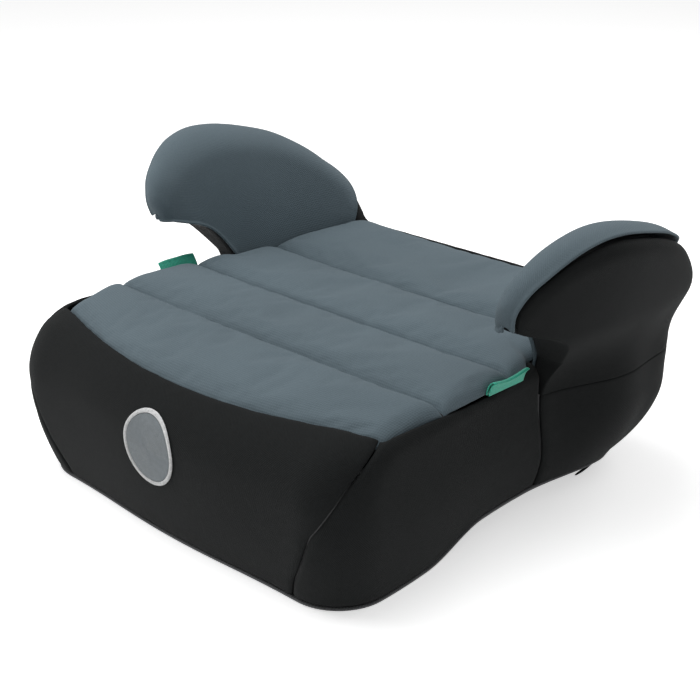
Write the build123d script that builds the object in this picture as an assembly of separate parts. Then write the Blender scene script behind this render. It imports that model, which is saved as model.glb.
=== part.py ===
from build123d import *
from math import atan2, cos, hypot, radians, sin, sqrt
import os

# ---------------------------------------------------------------- driving dimensions (mm)
# x = 0 is the mirror plane, y runs from the nose (-) to the rear (+), z = 0 is the floor.

# body
nose_y = -194.5            # foremost line of the body
rear_y = 194.5             # rearmost line of the body
front_half_width = 181.0   # half width behind the front corners
waist_half_width = 173.0   # half width at the seam in front of the armrest
haunch_half_width = 195.0  # half width under the armrest
belly_height = 80.0        # height of the body's fullest line
deck_height = 125.0        # height of the cover at the seat's edge
front_corner_radius = 40.0
rear_corner_radius = 46.0
front_bow = 5.0            # how far the front bows out between its corners
nose_roll = 46.0           # depth of the rolled top of the nose
shoulder_radius = 12.0     # rounding along the top of the side walls
waist_y = 23.0             # where the side wall is narrowest
haunch_y = 105.0           # where the side wall is widest
haunch_fade = 5.0          # how far it draws in again before the rear corner

foot_levels = [-8.0, 2.0, 26.0, 56.0]     # heights of the lower outlines
roll_levels = [0.09, 0.53, 0.84, 0.987]   # the upper ones, as shares of the rolled top

# how far the body's foot is drawn in from its fullest line
front_tuck = 14.0
side_tuck = 13.0
waist_tuck = 17.0
haunch_tuck = 40.0
rear_tuck = 27.0

# underside
arch_front_y = -88.0       # end of the front foot
arch_rear_y = 126.0        # start of the rear foot
arch_height = 17.0         # clearance under the raised part of the sides
arch_run = 62.0            # length over which the arch rises

# seat top
seat_front_y = -170.0      # front seam on the centre line
seat_corner_x = 172.0      # front seam at its two ends
seat_corner_y = -139.0
side_seam_inset = 4.5      # the side seams lie this far inside the side walls
seat_jog = 12.0            # length over which the seat narrows to pass the armrests
seat_inner_x = 160.0       # seam between seat and armrest
seat_rear_x = 156.0
seat_rear_y = 186.0
seam_y = (-85.0, -10.0, 70.0)   # the three cross seams
valley_height = 125.5      # height of the cover in a cross seam
crown_height = 7.0         # rise of a channel above its seams
nose_drop = 10.0           # the front channel's fall to the front seam
seat_edge_radius = 7.0     # drawn-in side edges of the channels

# armrest, side view
throat_y = 30.0            # root of the belt slot
throat_height = 125.0
tip_under_y = -28.0        # lower end of the armrest's tip
tip_under_height = 166.5
slot_bow = 7.0             # how far the slot's roof bows above a straight line
arm_top_height = 233.0
# the armrest's outline from the rear of its joint over the top to the tip: y, and
# height as a share of the way from the joint to the top
arm_ridge = (
    (193.0, 0.0),
    (194.0, 0.19),
    (179.5, 0.46),
    (153.0, 0.66),
    (127.0, 0.80),
    (96.0, 0.91),
    (42.0, 1.0),
    (0.0, 0.965),
    (-28.0, 0.845),
    (-38.5, 0.74),
    (-40.0, 0.65),
    (-36.0, 0.56),
)

# armrest, front view
arm_joint_height = 100.0   # the armrest mouldings stand on the shell at this height
arm_top_half_width = 234.0
arm_widest_y = 70.0
arm_rear_toe_in = 10.0
arm_tip_toe_in = 24.0      # the tip stands this far inboard of the armrest's widest part
arm_inner_top_x = 183.0    # inner face at the top
arm_inner_toe_in = 8.0
arm_edge_radius = 13.0
arm_seam_inset = 9.0       # the outer panel's seam lies this far inside the outer face
arm_seam_wrap = 24.0       # and this much further in behind

# materials
cover_thickness = 3.0      # fabric laminated to thin foam
layer_gap = 0.3            # clearance between layers
shell_wall = 3.5
rib_wall = 3.0
arm_wall = 3.0
arm_foam_thickness = 7.0
arm_side_foam = 2.0
hem_thickness = 2.0
hem_width = 16.0

# base shell
rib_x = (-62.0, 62.0)
rib_y = (arch_front_y, 0.0, 85.0)
stiffener_x = (-118.0, 0.0, 118.0)
stiffener_depth = 10.0

# armrest screws, bosses and webs
screw_x = 176.0
screw_y = (97.0, 121.0, 146.0)
screw_radius = 1.9
screw_head_radius = 4.0
screw_head_height = 2.4
screw_length = 18.0
boss_radius = 4.5
boss_height = 25.0
web_y = (45.0, 108.0, 141.0)

# hem hooks
hook_height = 20.0
hook_width = 12.0
hook_thickness = 1.6
hook_foot = 7.0
hook_stand_off = 1.0
rear_hook_x = 70.0
lug_width = 5.0
lug_height = 3.0

# trim
seam_depth = 12.5          # the side seams lie this far below the cross seams
tag_front_y = -40.0
tag_rear_y = -2.0
tag_low = 121.0
tag_rise = 10.5
patch_height = 76.0
patch_half_width = 24.0
patch_half_height = 25.0
patch_border = 3.0
patch_thickness = 1.2
border_thickness = 1.7

os.makedirs("parts", exist_ok=True)

reach = 400.0              # larger than the object, for cutting tools


# ---------------------------------------------------------------- shared forms
def curve(start, start_dir, end, end_dir, pull=0.38):
    """Cubic from start to end that leaves and arrives along the given directions."""
    length = pull * (end - start).length
    return Edge.make_bezier(start, start + Vector(*start_dir) * length, end - Vector(*end_dir) * length, end)


def curve_through(first, second, third, last):
    """Cubic through four points at equal steps."""
    near = (first * -5.0 + second * 18.0 - third * 9.0 + last * 2.0) * (1.0 / 6.0)
    far = (first * 2.0 - second * 9.0 + third * 18.0 - last * 5.0) * (1.0 / 6.0)
    return Edge.make_bezier(first, near, far, last)


def plan_wire(z, front, half, waist, haunch, rear, inset=0.0):
    """Closed plan outline of the body at height z, drawn in by inset."""
    front_radius = front_corner_radius - inset
    rear_radius = rear_corner_radius - inset
    side = half - inset
    rear_side = haunch - inset - haunch_fade
    back = rear - inset
    brow = front + inset + front_bow
    ahead, across = (0, 1, 0), (1, 0, 0)
    arc_pull = 0.39
    stations = [
        (Vector(0, front + inset, z), across),
        (Vector(side - front_radius, brow, z), across),
        (Vector(side, brow + front_radius, z), ahead),
        (Vector(waist - inset, waist_y, z), ahead),
        (Vector(haunch - inset, haunch_y, z), ahead),
        (Vector(rear_side, back - rear_radius, z), ahead),
        (Vector(rear_side - rear_radius, back, z), (-1, 0, 0)),
    ]
    right = []
    for (start, start_dir), (end, end_dir) in zip(stations, stations[1:]):
        right.append((start, start_dir, end, end_dir))
    left = []
    for start, start_dir, end, end_dir in reversed(right):
        left.append((
            Vector(-end.X, end.Y, z), (end_dir[0], -end_dir[1], 0),
            Vector(-start.X, start.Y, z), (start_dir[0], -start_dir[1], 0),
        ))
    rear_line = Edge.make_line(right[-1][2], left[0][0])
    edges = [curve(*piece, arc_pull) for piece in right] + [rear_line]
    return Wire(edges + [curve(*piece, arc_pull) for piece in left])


def body_levels(inset):
    """Heights at which the body's outline is drawn, closer together towards both ends."""
    roll_height = deck_height - inset - belly_height
    return foot_levels + [belly_height + share * roll_height for share in roll_levels]


def foot_tuck(z):
    """Share of each tuck that applies at height z: all at the floor, none at the belly."""
    return max(0.0, 1.0 - z / belly_height) ** 2


def body_outline(z, inset):
    """Plan outline of the body at height z."""
    tuck = foot_tuck(z)
    top = deck_height - inset
    roll_height = top - belly_height
    rise = max(0.0, z - belly_height) / roll_height
    roll = nose_roll * (1.0 - sqrt(1.0 - min(rise, 1.0) ** 2))
    over = max(0.0, z - (top - shoulder_radius)) / shoulder_radius
    shoulder = shoulder_radius * (1.0 - sqrt(1.0 - min(over, 1.0) ** 2))
    return plan_wire(
        z,
        nose_y + front_tuck * tuck + roll,
        front_half_width - side_tuck * tuck - shoulder,
        waist_half_width - waist_tuck * tuck - shoulder,
        haunch_half_width - haunch_tuck * tuck,
        rear_y - rear_tuck * tuck - shoulder,
        inset,
    )


def body_form(inset):
    """The body inside the cover's outer face, drawn in by inset all round."""
    return Solid.make_loft([body_outline(z, inset) for z in body_levels(inset)])


def smooth(share):
    """Ease from 0 to 1."""
    share = min(max(share, 0.0), 1.0)
    return share * share * (3.0 - 2.0 * share)


def arm_outer_x(y, z):
    """Half width of the armrest's outer face."""
    rise = (z - arm_joint_height) / (arm_top_height - arm_joint_height)
    bulge = smooth((y - waist_y) / (haunch_y - waist_y))
    fade = smooth((y - haunch_y) / (rear_y - rear_corner_radius - haunch_y))
    low = waist_half_width + (haunch_half_width - waist_half_width) * bulge - haunch_fade * fade
    high = haunch_half_width + (arm_top_half_width - haunch_half_width) * rise
    if y < arm_widest_y:
        high -= arm_tip_toe_in * ((arm_widest_y - y) / (arm_widest_y - arm_ridge[-2][0])) ** 2
    else:
        high -= arm_rear_toe_in * ((y - arm_widest_y) / (rear_y - arm_widest_y)) ** 2
    past = max(0.0, y - (rear_y - rear_corner_radius))
    corner = rear_corner_radius - sqrt(max(0.0, rear_corner_radius ** 2 - past ** 2))
    blend = smooth(rise / 0.45)
    return low + (high - low) * blend - corner * (1.0 - 0.4 * blend)


def arm_inner_x(y, z):
    """Half width of the armrest's inner face, which rises from the seat's side."""
    rise = (z - arm_joint_height) / (arm_top_height - arm_joint_height)
    share = (y - waist_y) / (seat_rear_y - waist_y)
    seat_side = seat_inner_x + (seat_rear_x - seat_inner_x) * max(share, 0.0)
    lean = (arm_inner_top_x - seat_inner_x) * rise * rise
    toe = arm_inner_toe_in * rise * rise * ((y - arm_widest_y) / (rear_y - arm_widest_y)) ** 2
    return seat_side + 2.0 * layer_gap + lean - toe


def arm_section(ridge, inset, outer_inset, inner_face, close):
    """Section of the armrest in the plane through its hub line and a point of its ridge."""
    hub_y = waist_y - 2.0
    ridge_z = arm_joint_height + ridge[1] * (arm_top_height - arm_joint_height)
    ray = Vector(0, ridge[0] - hub_y, ridge_z - arm_joint_height)
    length = ray.length - inset
    ray = ray.normalized()
    shoulder = length - arm_edge_radius - 5.0

    def face_point(radius, outer):
        y = hub_y + radius * ray.Y
        z = arm_joint_height + radius * ray.Z
        inner_x = inner_face(y, z)
        outer_x = arm_outer_x(y, z) - outer_inset
        middle = 0.5 * (inner_x + outer_x)
        half = max(0.5 * (outer_x - inner_x), 1.5) * close
        return Vector(middle + (half if outer else -half), y, z)

    def face_curve(outer):
        steps = [2.0 + share * (shoulder - 2.0) for share in (0.0, 1.0 / 3.0, 2.0 / 3.0, 1.0)]
        return curve_through(*[face_point(radius, outer) for radius in steps])

    inner, outer = face_curve(False), face_curve(True)
    tip = 0.5 * (face_point(length, False) + face_point(length, True))
    return Wire([
        inner,
        curve(inner @ 1, inner % 1, tip, (1, 0, 0), 0.42),
        curve(tip, (1, 0, 0), outer @ 1, -(outer % 1), 0.42),
        outer,
        Edge.make_line(outer @ 0, inner @ 0),
    ])


def slot_outline(inset):
    """Region in front of and below the armrest, drawn towards the armrest by inset."""
    middle = (0.5 * (throat_y + tip_under_y) + slot_bow, 0.5 * (throat_height + tip_under_height) + slot_bow)
    roof = Spline((throat_y, throat_height), middle, (tip_under_y, tip_under_height),
                  (tip_under_y - 30.0, tip_under_height + 13.0))
    points = []
    for step in range(9):
        at = roof.position_at(step / 8)
        along = roof.tangent_at(step / 8)
        points.append((at.X + inset * along.Y, at.Y - inset * along.X))
    low = arm_joint_height - 10.0
    front = tip_under_y - 70.0
    return [
        Spline(points),
        Line(points[-1], (front, tip_under_height)),
        Line((front, tip_under_height), (front, low)),
        Line((front, low), (waist_y + inset, low)),
        Line((waist_y + inset, low), points[0]),
    ]


def arm_fan(inset, outer_inset, inner_face):
    """Loft of the armrest's sections, from the rear of its joint round to its tip."""
    sections = []
    for number, ridge in enumerate(arm_ridge):
        left = len(arm_ridge) - 1 - number
        close = (0.55, 0.8, 0.93)[left] if left < 3 else 1.0
        sections.append(arm_section(ridge, inset, outer_inset, inner_face, close))
    return Solid.make_loft(sections)


def arm_form(inset, outer_inset):
    """One armrest (at +x), drawn in from its outline and inner face, and from its outer face."""
    fan = arm_fan(inset, outer_inset, lambda y, z: arm_inner_x(y, z) + inset)
    slot = extrude(Plane.YZ.offset(100.0) * make_face(slot_outline(inset)), amount=160.0)
    seat_zone = block(0.0, seat_rear_x + layer_gap, seat_rear_y - 30.0, reach, arm_joint_height - 20.0, deck_height)
    return fan - slot - seat_zone


def arm_outer_band():
    """Space outside the seam between an armrest's inner and outer panels."""
    def seam_face(y, z):
        wrap = arm_seam_wrap * smooth((y - haunch_y) / (rear_y - haunch_y))
        return arm_outer_x(y, z) - arm_seam_inset - wrap

    return arm_fan(-40.0, -15.0, seam_face)


# ---------------------------------------------------------------- cutting tools
def block(x_low, x_high, y_low, y_high, z_low, z_high):
    """Box between two corners."""
    size = (x_high - x_low, y_high - y_low, z_high - z_low)
    return Pos(x_low, y_low, z_low) * Box(*size, align=(Align.MIN, Align.MIN, Align.MIN))


def under_cut(rise):
    """Everything below the cover's lower edge, raised by rise."""
    low = -60.0
    arch_foot = arch_rear_y + 14.0
    outline = [
        Line((-reach, rise), (arch_front_y, rise)),
        Spline((arch_front_y, rise), (arch_front_y + arch_run, rise + arch_height), tangents=[(1, 0), (1, 0)]),
        Line((arch_front_y + arch_run, rise + arch_height), (arch_rear_y, rise + arch_height)),
        Spline((arch_rear_y, rise + arch_height), (arch_foot, rise), tangents=[(1, 0), (1, 0)]),
        Line((arch_foot, rise), (reach, rise)),
        Line((reach, rise), (reach, low)),
        Line((reach, low), (-reach, low)),
        Line((-reach, low), (-reach, rise)),
    ]
    return extrude(Plane.YZ.offset(-reach) * make_face(outline), amount=2.0 * reach)


def seat_prism(inset, z_low, z_high):
    """The seat top's plan outline, drawn in by inset, between two heights."""
    front = seat_front_y + inset
    corner = Vector(seat_corner_x - inset, seat_corner_y + inset)
    root = Vector(waist_half_width - side_seam_inset - inset, waist_y - seat_jog)
    inner = Vector(seat_inner_x - inset, waist_y)
    rear = Vector(seat_rear_x - inset, seat_rear_y - inset)

    def flip(point):
        return Vector(-point.X, point.Y)

    outline = [
        Edge.make_three_point_arc(flip(corner), Vector(0, front), corner),
        curve(corner, (0.3, 1, 0), root, (0, 1, 0)),
        Edge.make_line(root, inner),
        Edge.make_line(inner, rear),
        Edge.make_line(rear, flip(rear)),
        Edge.make_line(flip(rear), flip(inner)),
        Edge.make_line(flip(inner), flip(root)),
        curve(flip(root), (0, -1, 0), flip(corner), (0.3, -1, 0)),
    ]
    return extrude(Plane.XY.offset(z_low) * make_face(outline), amount=z_high - z_low)


def front_cut():
    """Everything in front of the seams between the front panel and the side panels, at x > 0."""
    seam_plane = Plane(origin=(0, 0, 0), x_dir=(1, 1, 0), z_dir=(1, -1, 0))
    seam = Spline((-39.0, -20.0), (-36.0, 20.0), (-25.5, 61.0), (-1.5, 97.0), (27.0, 130.0))
    outline = [seam, Line((27.0, 130.0), (-reach, 130.0)), Line((-reach, 130.0), (-reach, -20.0)),
               Line((-reach, -20.0), (-39.0, -20.0))]
    slab = extrude(seam_plane * make_face(outline), amount=reach)
    return slab & block(0, reach, -reach, waist_y, -20.0, 130.0)


# ---------------------------------------------------------------- seat top
def channel_form(y_front, y_rear, inset):
    """One quilted channel between two seams: an arched bar with drawn-in ends."""
    low = arm_joint_height
    end_z = valley_height - inset
    start_z = end_z - nose_drop if y_front == seat_front_y else end_z
    top_z = end_z + crown_height
    y_start = y_front + 0.5 * layer_gap
    y_end = y_rear - 0.5 * layer_gap
    outline = [
        ThreePointArc((y_start, start_z), (0.5 * (y_start + y_end), top_z), (y_end, end_z)),
        Line((y_end, end_z), (y_end, low)),
        Line((y_end, low), (y_start, low)),
        Line((y_start, low), (y_start, start_z)),
    ]
    bar = extrude(Plane.YZ.offset(-reach) * make_face(outline), amount=2.0 * reach)
    form = bar & seat_prism(inset, low - 5.0, deck_height + 40.0)
    edges = [e for e in form.edges() if abs(e.center().X) > 140.0 and e.center().Z > end_z - 11.0]
    return fillet(edges, seat_edge_radius - inset)


def mirrored(shape):
    """The same shape on the other side of the mirror plane."""
    return mirror(shape, about=Plane.YZ)


def save(shape, node):
    """Write one node's solids."""
    shape.label = node
    export_step(shape, f"parts/{node}.step")
    print(f"{node}: {len(shape.solids())} solids, {shape.volume:.0f} mm3")


# ---------------------------------------------------------------- forms used by several pieces
outer_form = body_form(0.0)
cover_inner_form = body_form(cover_thickness)
shell_inner_form = body_form(cover_thickness + shell_wall)
hem_inner_form = body_form(hem_width)

arm_soft = cover_thickness + arm_foam_thickness
arm_side_soft = cover_thickness + arm_side_foam
arm_outer = arm_form(0.0, 0.0)
arm_cover_inner = arm_form(cover_thickness, cover_thickness)
arm_core_outer = arm_form(arm_soft, arm_side_soft) & arm_cover_inner
arm_core_inner = arm_form(arm_soft + arm_wall, arm_side_soft + arm_wall)

deck_top = arm_joint_height
deck_under = deck_top - shell_wall
hem_low = layer_gap
hem_top = hem_low + hem_thickness
below_joint = block(-reach, reach, -reach, reach, -60.0, deck_top)
above_joint = block(-reach, reach, -reach, reach, deck_top, reach)
arm_zone = block(seat_rear_x, reach, waist_y, reach, deck_top, reach) - seat_prism(0.0, 0.0, 2.0 * reach)


# ---------------------------------------------------------------- hooks that hold the hem
class HookPlace:
    """Where a hem hook stands: its line on the skirt, the direction inward and the hem's rise."""

    def __init__(self, x, y, inward, hem_rise):
        self.x = x
        self.y = y
        self.inward = inward
        self.low = hem_top + hem_rise

    def wall(self, z):
        """Distance of the skirt's inner face from the middle of the object at height z."""
        start = Vector(self.x, 0, z) if self.inward[1] else Vector(0, self.y, z)
        outward = Vector(-self.inward[0], -self.inward[1], 0)
        inside = Edge.make_line(start, start + outward * reach).intersect(shell_inner_form)
        return inside.edges()[0].length

    def bar(self, near, far, half_width, z_low, z_high):
        """Box between two distances from the middle, measured along the inward direction."""
        if self.inward[0]:
            ends = sorted((-self.inward[0] * near, -self.inward[0] * far))
            return block(*ends, self.y - half_width, self.y + half_width, z_low, z_high)
        ends = sorted((-self.inward[1] * near, -self.inward[1] * far))
        return block(self.x - half_width, self.x + half_width, *ends, z_low, z_high)


hook_places = [HookPlace(0.0, 0.0, (0, 1), 0.0)]
for side in (-1, 1):
    hook_places.append(HookPlace(side * rear_hook_x, 0.0, (0, -1), 0.0))
    hook_places.append(HookPlace(0.0, waist_y, (-side, 0), arch_height))
    hook_places.append(HookPlace(0.0, haunch_y, (-side, 0), arch_height))


def hook_lug(place, clearance=0.0):
    """Lug on the skirt's inner face that a hem hook snaps over."""
    plate = place.wall(place.low) - hook_stand_off
    z = place.low + hook_height - 7.0
    root = place.wall(z) + 1.0
    half_width = 0.5 * lug_width + clearance
    return place.bar(plate - hook_thickness - 2.0, root, half_width,
                     z - 0.5 * lug_height - clearance, z + 0.5 * lug_height + clearance)


def hem_hook(place):
    """Plate that rises from the hem and snaps over its lug, with a foot sewn to the hem."""
    plate = place.wall(place.low) - hook_stand_off
    half_width = 0.5 * hook_width
    upright = place.bar(plate - hook_thickness, plate, half_width, place.low, place.low + hook_height)
    foot = place.bar(plate - hook_foot, plate, half_width, place.low, place.low + hook_thickness)
    return upright + foot - hook_lug(place, layer_gap)


# ---------------------------------------------------------------- base shell
def base_shell():
    """Moulded shell: deck, skirt walls, two long ribs, three cross ribs and shallow stiffeners."""
    void = shell_inner_form & block(-reach, reach, -reach, reach, -60.0, deck_under)
    half = 0.5 * rib_wall
    ribs = [block(x - half, x + half, -reach, reach, -60.0, deck_top) for x in rib_x]
    ribs += [block(-reach, reach, y - half, y + half, -60.0, deck_top) for y in rib_y]
    stiffener_low = deck_under - stiffener_depth
    ribs += [block(x - 1.0, x + 1.0, -reach, reach, stiffener_low, deck_top) for x in stiffener_x]
    shell = (cover_inner_form & below_joint) - (void - ribs)
    shell -= under_cut(0.0)
    shell -= under_cut(hem_top) - hem_inner_form
    shell += [hook_lug(place) for place in hook_places]
    holes = [Pos(side * screw_x, y, deck_top) * Cylinder(screw_radius + layer_gap, 4.0 * shell_wall)
             for side in (-1, 1) for y in screw_y]
    return shell - holes


# ---------------------------------------------------------------- armrests
def arm_core():
    """Moulded armrest, hollow and open below, with webs and screw bosses."""
    webs = [block(seat_rear_x, reach, y - 1.25, y + 1.25, deck_top, reach) for y in web_y]
    bosses = [Pos(screw_x, y, deck_top + 0.5 * boss_height) * Cylinder(boss_radius, boss_height)
              for y in screw_y]
    inside = (Part() + webs + bosses) & arm_core_inner
    core = (arm_core_outer - arm_core_inner) + inside
    bores = [Pos(screw_x, y, deck_top) * Cylinder(screw_radius + 0.1, 2.0 * (screw_length + 2.0))
             for y in screw_y]
    return core - bores


def screw(x, y):
    """Pan-head screw driven up through the deck."""
    seat_z = deck_under - 0.1
    head = Pos(x, y, seat_z - 0.5 * screw_head_height) * Cylinder(screw_head_radius, screw_head_height)
    return head + Pos(x, y, seat_z + 0.5 * screw_length) * Cylinder(screw_radius, screw_length)


# ---------------------------------------------------------------- seat
def seat_panel(y_front, y_rear):
    """Fabric of one channel, down to its side seams."""
    skin = channel_form(y_front, y_rear, 0.0) - channel_form(y_front, y_rear, cover_thickness)
    return skin & block(-reach, reach, -reach, reach, valley_height - seam_depth, reach)


def seat_foam(panels):
    """Foam pad between the deck and the fabric, arched under each channel."""
    pad = (cover_inner_form & above_joint) - arm_zone - mirrored(arm_zone)
    for y_front, y_rear in zip(seam_lines, seam_lines[1:]):
        pad += channel_form(y_front, y_rear, cover_thickness)
    return pad - panels


# ---------------------------------------------------------------- cover
def cover_skin():
    """The black part of the cover round the body, in one piece, at x > 0."""
    skin = outer_form - cover_inner_form
    skin = skin & block(0.0, reach, -reach, reach, -60.0, reach)
    skin -= seat_prism(0.0, deck_top - 5.0, reach)
    skin -= arm_zone
    return skin - under_cut(hem_top)


def ellipse_prism(half_width, half_height):
    """Upright ellipse run along y through the front panel."""
    face = Plane.XZ.offset(-nose_y - 20.0) * (Pos(0, patch_height) * Ellipse(half_width, half_height))
    return extrude(face, amount=40.0)


def belt_tag():
    """Ribbon loop that stands up from the side seam at x > 0."""
    root_x = front_half_width - side_seam_inset - 2.5
    outline = [
        Spline((root_x, tag_low), (root_x + 1.8, tag_low + 5.5), (root_x + 6.0, tag_low + tag_rise)),
        Line((root_x + 6.0, tag_low + tag_rise), (root_x + 6.8, tag_low + tag_rise - 0.8)),
        Spline((root_x + 6.8, tag_low + tag_rise - 0.8), (root_x + 2.9, tag_low + 5.1),
               (root_x + 1.1, tag_low)),
        Line((root_x + 1.1, tag_low), (root_x, tag_low)),
    ]
    return extrude(Plane.XZ.offset(-tag_rear_y) * make_face(outline), amount=tag_rear_y - tag_front_y)


# ---------------------------------------------------------------- build
seam_lines = (seat_front_y, *seam_y, seat_rear_y)
save(base_shell(), "base_shell")

core = arm_core()
save(core, "armrest_right")
save(mirrored(core), "armrest_left")
screws = [screw(side * screw_x, y) for side in (-1, 1) for y in screw_y]
save(Compound(children=screws), "armrest_screws")

pad = arm_cover_inner - arm_core_outer
save(pad, "armrest_foam_right")
save(mirrored(pad), "armrest_foam_left")

panel_names = ("seat_panel_front", "seat_panel_mid_front", "seat_panel_mid_rear", "seat_panel_rear")
panels = [seat_panel(*pair) for pair in zip(seam_lines, seam_lines[1:])]
for panel, name in zip(panels, panel_names):
    save(panel, name)
save(seat_foam(panels), "seat_foam")

skin = cover_skin()
nose_cut = front_cut()
front_half = skin & nose_cut
save(front_half + mirrored(front_half), "front_panel")
side_panel = (skin & block(0.0, reach, -reach, waist_y, -60.0, reach)) - nose_cut - panels[2]
save(side_panel, "side_panel_right")
save(mirrored(side_panel), "side_panel_left")
rear_half = skin & block(0.0, seat_rear_x, waist_y, reach, -60.0, reach)
save(rear_half + mirrored(rear_half), "rear_panel")

arm_skin = arm_outer - arm_cover_inner
band = arm_outer_band()
inner_panel = (arm_skin - band).solids().sort_by(SortBy.VOLUME)[-1]
save(inner_panel, "armrest_inner_panel_right")
save(mirrored(inner_panel), "armrest_inner_panel_left")
outer_panel = (arm_skin - inner_panel) + (skin & block(seat_rear_x, reach, waist_y, reach, -60.0, deck_top))
save(outer_panel, "armrest_outer_panel_right")
save(mirrored(outer_panel), "armrest_outer_panel_left")

hem = (outer_form - hem_inner_form) & (under_cut(hem_top) - under_cut(hem_low))
save(hem, "cover_hem")
save(Compound(children=[hem_hook(place) for place in hook_places]), "hem_hooks")

tag = belt_tag() - panels[1] - side_panel
save(tag, "belt_tag_right")
save(mirrored(tag), "belt_tag_left")

patch_form = body_form(-patch_thickness) - outer_form
save(ellipse_prism(patch_half_width, patch_half_height) & patch_form, "front_patch")
border_form = body_form(-border_thickness) - outer_form
ring = ellipse_prism(patch_half_width + patch_border, patch_half_height + patch_border)
ring -= ellipse_prism(patch_half_width, patch_half_height)
save(ring & border_form, "patch_border")
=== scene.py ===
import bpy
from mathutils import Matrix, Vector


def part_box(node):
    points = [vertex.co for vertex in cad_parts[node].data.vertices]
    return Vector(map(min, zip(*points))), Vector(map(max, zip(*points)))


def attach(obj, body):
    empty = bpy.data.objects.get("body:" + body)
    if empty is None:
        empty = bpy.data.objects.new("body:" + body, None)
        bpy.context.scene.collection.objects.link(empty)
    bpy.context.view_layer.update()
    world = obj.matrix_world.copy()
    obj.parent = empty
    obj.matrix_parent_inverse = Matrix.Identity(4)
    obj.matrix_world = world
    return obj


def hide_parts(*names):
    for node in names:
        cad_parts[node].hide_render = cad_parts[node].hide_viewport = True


bl_info = {
    "name": "Booster seat cover",
    "version": (1, 0, 0),
    "blender": (4, 5, 0),
    "location": "View3D > Sidebar > Booster seat",
    "description": "Sews and stuffs the fabric cover of a booster seat over its moulded shell",
    "category": "Object",
}

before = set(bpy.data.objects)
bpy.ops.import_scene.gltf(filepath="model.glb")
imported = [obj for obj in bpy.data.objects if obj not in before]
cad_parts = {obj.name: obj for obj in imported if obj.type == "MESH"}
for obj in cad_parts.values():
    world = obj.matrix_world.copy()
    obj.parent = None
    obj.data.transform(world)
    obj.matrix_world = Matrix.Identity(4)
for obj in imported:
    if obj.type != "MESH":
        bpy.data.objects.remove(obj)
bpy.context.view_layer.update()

from math import asin, cos, exp, hypot, pi, radians, sin, sqrt

import bpy
from mathutils import Vector, noise

BODY = "root"
MM = 0.001

# ---------------------------------------------------------------- places, in millimetres, from the frame
SHELL_LOW, SHELL_HIGH = [[value / MM for value in corner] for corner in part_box("base_shell")]
ARM_LOW, ARM_HIGH = [[value / MM for value in corner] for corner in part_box("armrest_outer_panel_right")]
COVER = 3.0                          # fabric laminated to thin foam

NOSE_Y = SHELL_LOW[1] - COVER        # foremost line of the body
REAR_Y = SHELL_HIGH[1] + COVER
DECK = SHELL_HIGH[2]                 # the armrests stand on the shell at this height
HAUNCH = SHELL_HIGH[0] + COVER       # half width under the armrest
FRONT_HALF = HAUNCH - 14.0
WAIST = HAUNCH - 22.0                # half width where the armrest starts
BELLY = 80.0                         # height of the fullest line
TOP = DECK + 25.0                    # height of the cover at the seat's edge
WAIST_Y = 23.0
HAUNCH_Y = 105.0
CORNER_FRONT = 40.0
CORNER_REAR = 46.0
BOW = 5.0
ROLL = 46.0                          # depth of the rolled nose
SHOULDER = 12.0
FADE = 5.0
TUCK = {"front": 14.0, "side": 13.0, "waist": 17.0, "haunch": 40.0, "rear": 27.0}
HEM_Z = 2.3
ARCH = {"start": -88.0, "run": 62.0, "end": 126.0, "drop": 14.0, "height": 17.0}

SEAT_FRONT_Y = -170.0
SEAT_CORNER = (172.0, -139.0)
SEAT_ROOT_Y = 11.0
SEAT_REAR = (156.0, 186.0)
SEAM_Y = (-85.0, -10.0, 70.0)
VALLEY = 125.5
NOSE_DROP = 10.0

ARM_TOP = ARM_HIGH[2]
ARM_HALF = ARM_HIGH[0] + 5.7
ARM_WIDEST_Y = 70.0
HUB = (21.0, DECK)
RIDGE = (
    (193.0, 0.0), (194.0, 0.19), (179.5, 0.46), (153.0, 0.66), (127.0, 0.80), (96.0, 0.91),
    (42.0, 1.0), (0.0, 0.965), (-28.0, 0.845), (-38.5, 0.74), (-40.0, 0.65), (-36.0, 0.56),
)
SLOT = ((23.0, 90.0), (30.0, 125.0), (8.0, 152.7), (-28.0, 166.5), (-58.0, 179.5))


# ---------------------------------------------------------------- settings a user would change
class SeatCoverSizes(bpy.types.PropertyGroup):
    crown: bpy.props.FloatProperty(
        name="Crown", description="Rise of a quilted channel above its seams", default=0.0065,
        min=0.0, max=0.012, unit="LENGTH")
    groove: bpy.props.FloatProperty(
        name="Groove", description="Depth of a sewn seam below the cloth beside it", default=0.0026,
        min=0.0, max=0.006, unit="LENGTH")
    cloth: bpy.props.FloatProperty(
        name="Cloth thickness", description="Thickness of the sewn cloth", default=0.0022,
        min=0.0005, max=0.003, unit="LENGTH")
    swell: bpy.props.FloatProperty(
        name="Swell", description="Furthest a stuffed panel may swell when it is inflated", default=0.003,
        min=0.0, max=0.01, unit="LENGTH")


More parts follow.
